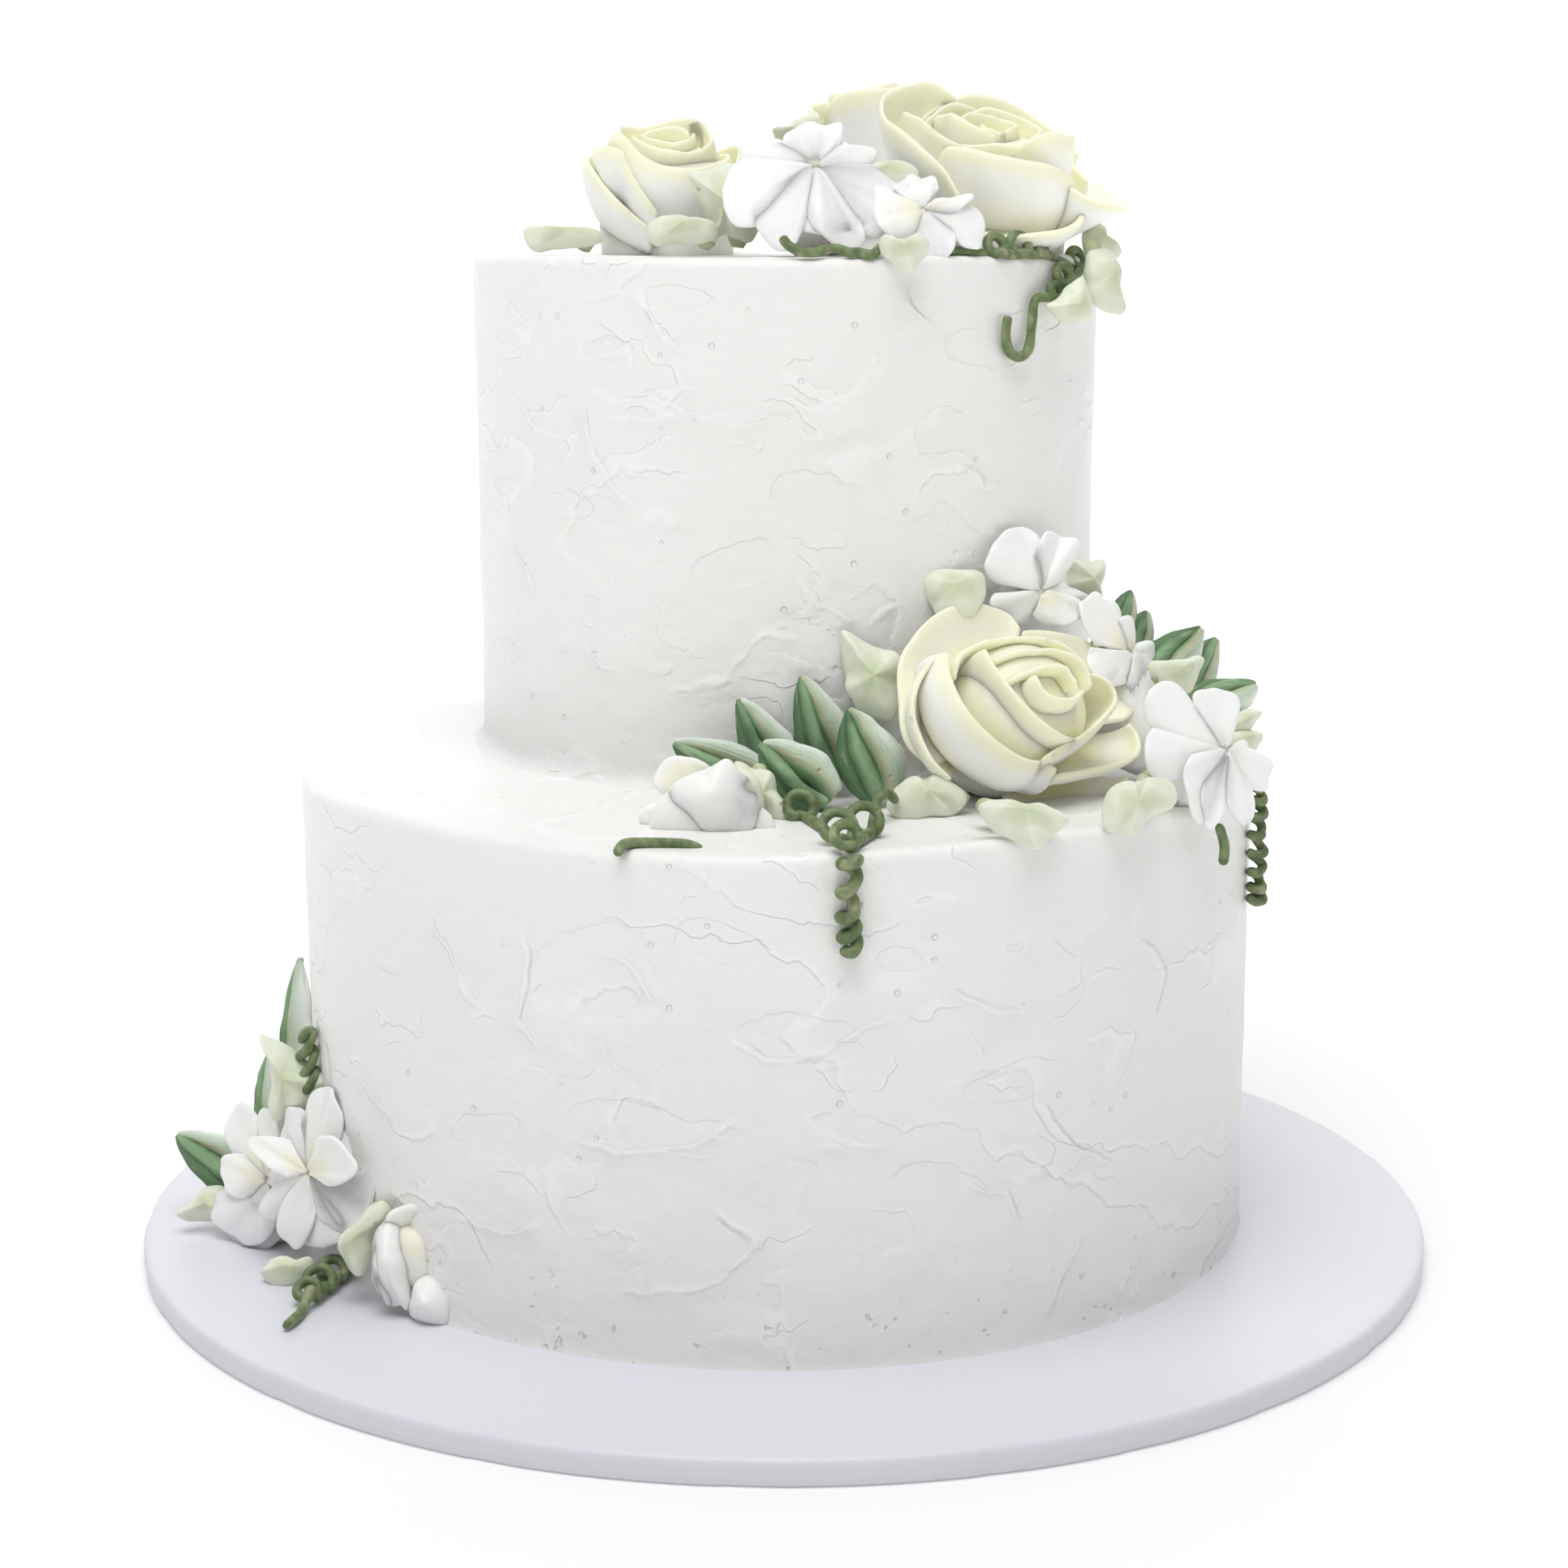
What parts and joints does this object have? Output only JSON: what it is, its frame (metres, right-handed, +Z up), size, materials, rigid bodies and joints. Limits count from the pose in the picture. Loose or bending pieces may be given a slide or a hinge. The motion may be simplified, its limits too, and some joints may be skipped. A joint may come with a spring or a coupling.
{
  "type": "tiered wedding cake",
  "caption": "Round tiered wedding cake iced in white buttercream, dressed with piped roses, blossoms, buds, leaves and curled vines, on its round board.",
  "frame": {"origin": "centre of the board's underside, which is the centre of the bounding box's bottom face", "axes": "+Z up, -Y towards the front where the piped flowers show, +X to the viewer's right"},
  "size_m": [0.3048, 0.3048, 0.272],
  "materials": {
    "icing": "smooth buttercream spread with a palette knife, satin",
    "board_paper": "white paper-covered cake board, satin",
    "rose_cream": "piped buttercream, cream white with pale lemon-lime rims, satin",
    "blossom_white": "piped buttercream, white, satin",
    "leaf_dark": "piped buttercream, deep leaf green with paler flanks, satin",
    "leaf_pale": "piped buttercream, pale sage green, satin",
    "vine_green": "piped buttercream, dark olive green marbled with beige, satin"
  },
  "bodies": {
    "root": {"board": "board_paper", "tier_lower": "icing", "tier_upper": "icing", "vine_top": "vine_green", "vine_ledge": "vine_green", "vine_trail": "vine_green", "vine_tail": "vine_green", "vine_stem": "vine_green", "vine_right": "vine_green", "vine_base_knot": "vine_green", "vine_base": "vine_green", "rose_ledge": "rose_cream", "rose_top_large": "rose_cream", "rose_top_small": "rose_cream", "rose_top_back": "rose_cream", "blossom_top_large": "blossom_white", "blossom_top_small": "blossom_white", "blossom_wall": "blossom_white", "blossom_behind_rose": "blossom_white", "blossom_ledge_right": "blossom_white", "blossom_base_left": "blossom_white", "blossom_base_right": "blossom_white", "bud_ledge": "blossom_white", "bud_base": "blossom_white", "leaf_dark_ledge_5": "leaf_dark", "leaf_dark_ledge_4": "leaf_dark", "leaf_dark_ledge_3": "leaf_dark", "leaf_dark_ledge_2": "leaf_dark", "leaf_dark_ledge_1": "leaf_dark", "leaf_dark_right_1": "leaf_dark", "leaf_dark_right_2": "leaf_dark", "leaf_dark_right_3": "leaf_dark", "leaf_dark_right_4": "leaf_dark", "leaf_dark_right_5": "leaf_dark", "leaf_dark_base_1": "leaf_dark", "leaf_dark_base_2": "leaf_dark", "leaf_dark_base_3": "leaf_dark", "leaf_top_1": "leaf_pale", "leaf_top_2": "leaf_pale", "leaf_top_3": "leaf_pale", "leaf_top_4": "leaf_pale", "leaf_top_5": "leaf_pale", "leaf_top_6": "leaf_pale", "leaf_top_7": "leaf_pale", "leaf_top_8": "leaf_pale", "leaf_top_9": "leaf_pale", "leaf_ledge_1": "leaf_pale", "leaf_ledge_2": "leaf_pale", "leaf_ledge_3": "leaf_pale", "leaf_ledge_4": "leaf_pale", "leaf_ledge_5": "leaf_pale", "leaf_ledge_6": "leaf_pale", "leaf_ledge_7": "leaf_pale", "leaf_ledge_8": "leaf_pale", "leaf_ledge_9": "leaf_pale", "leaf_ledge_10": "leaf_pale", "leaf_base_1": "leaf_pale", "leaf_base_2": "leaf_pale", "leaf_base_3": "leaf_pale", "leaf_base_4": "leaf_pale"}
  },
  "joints": []
}
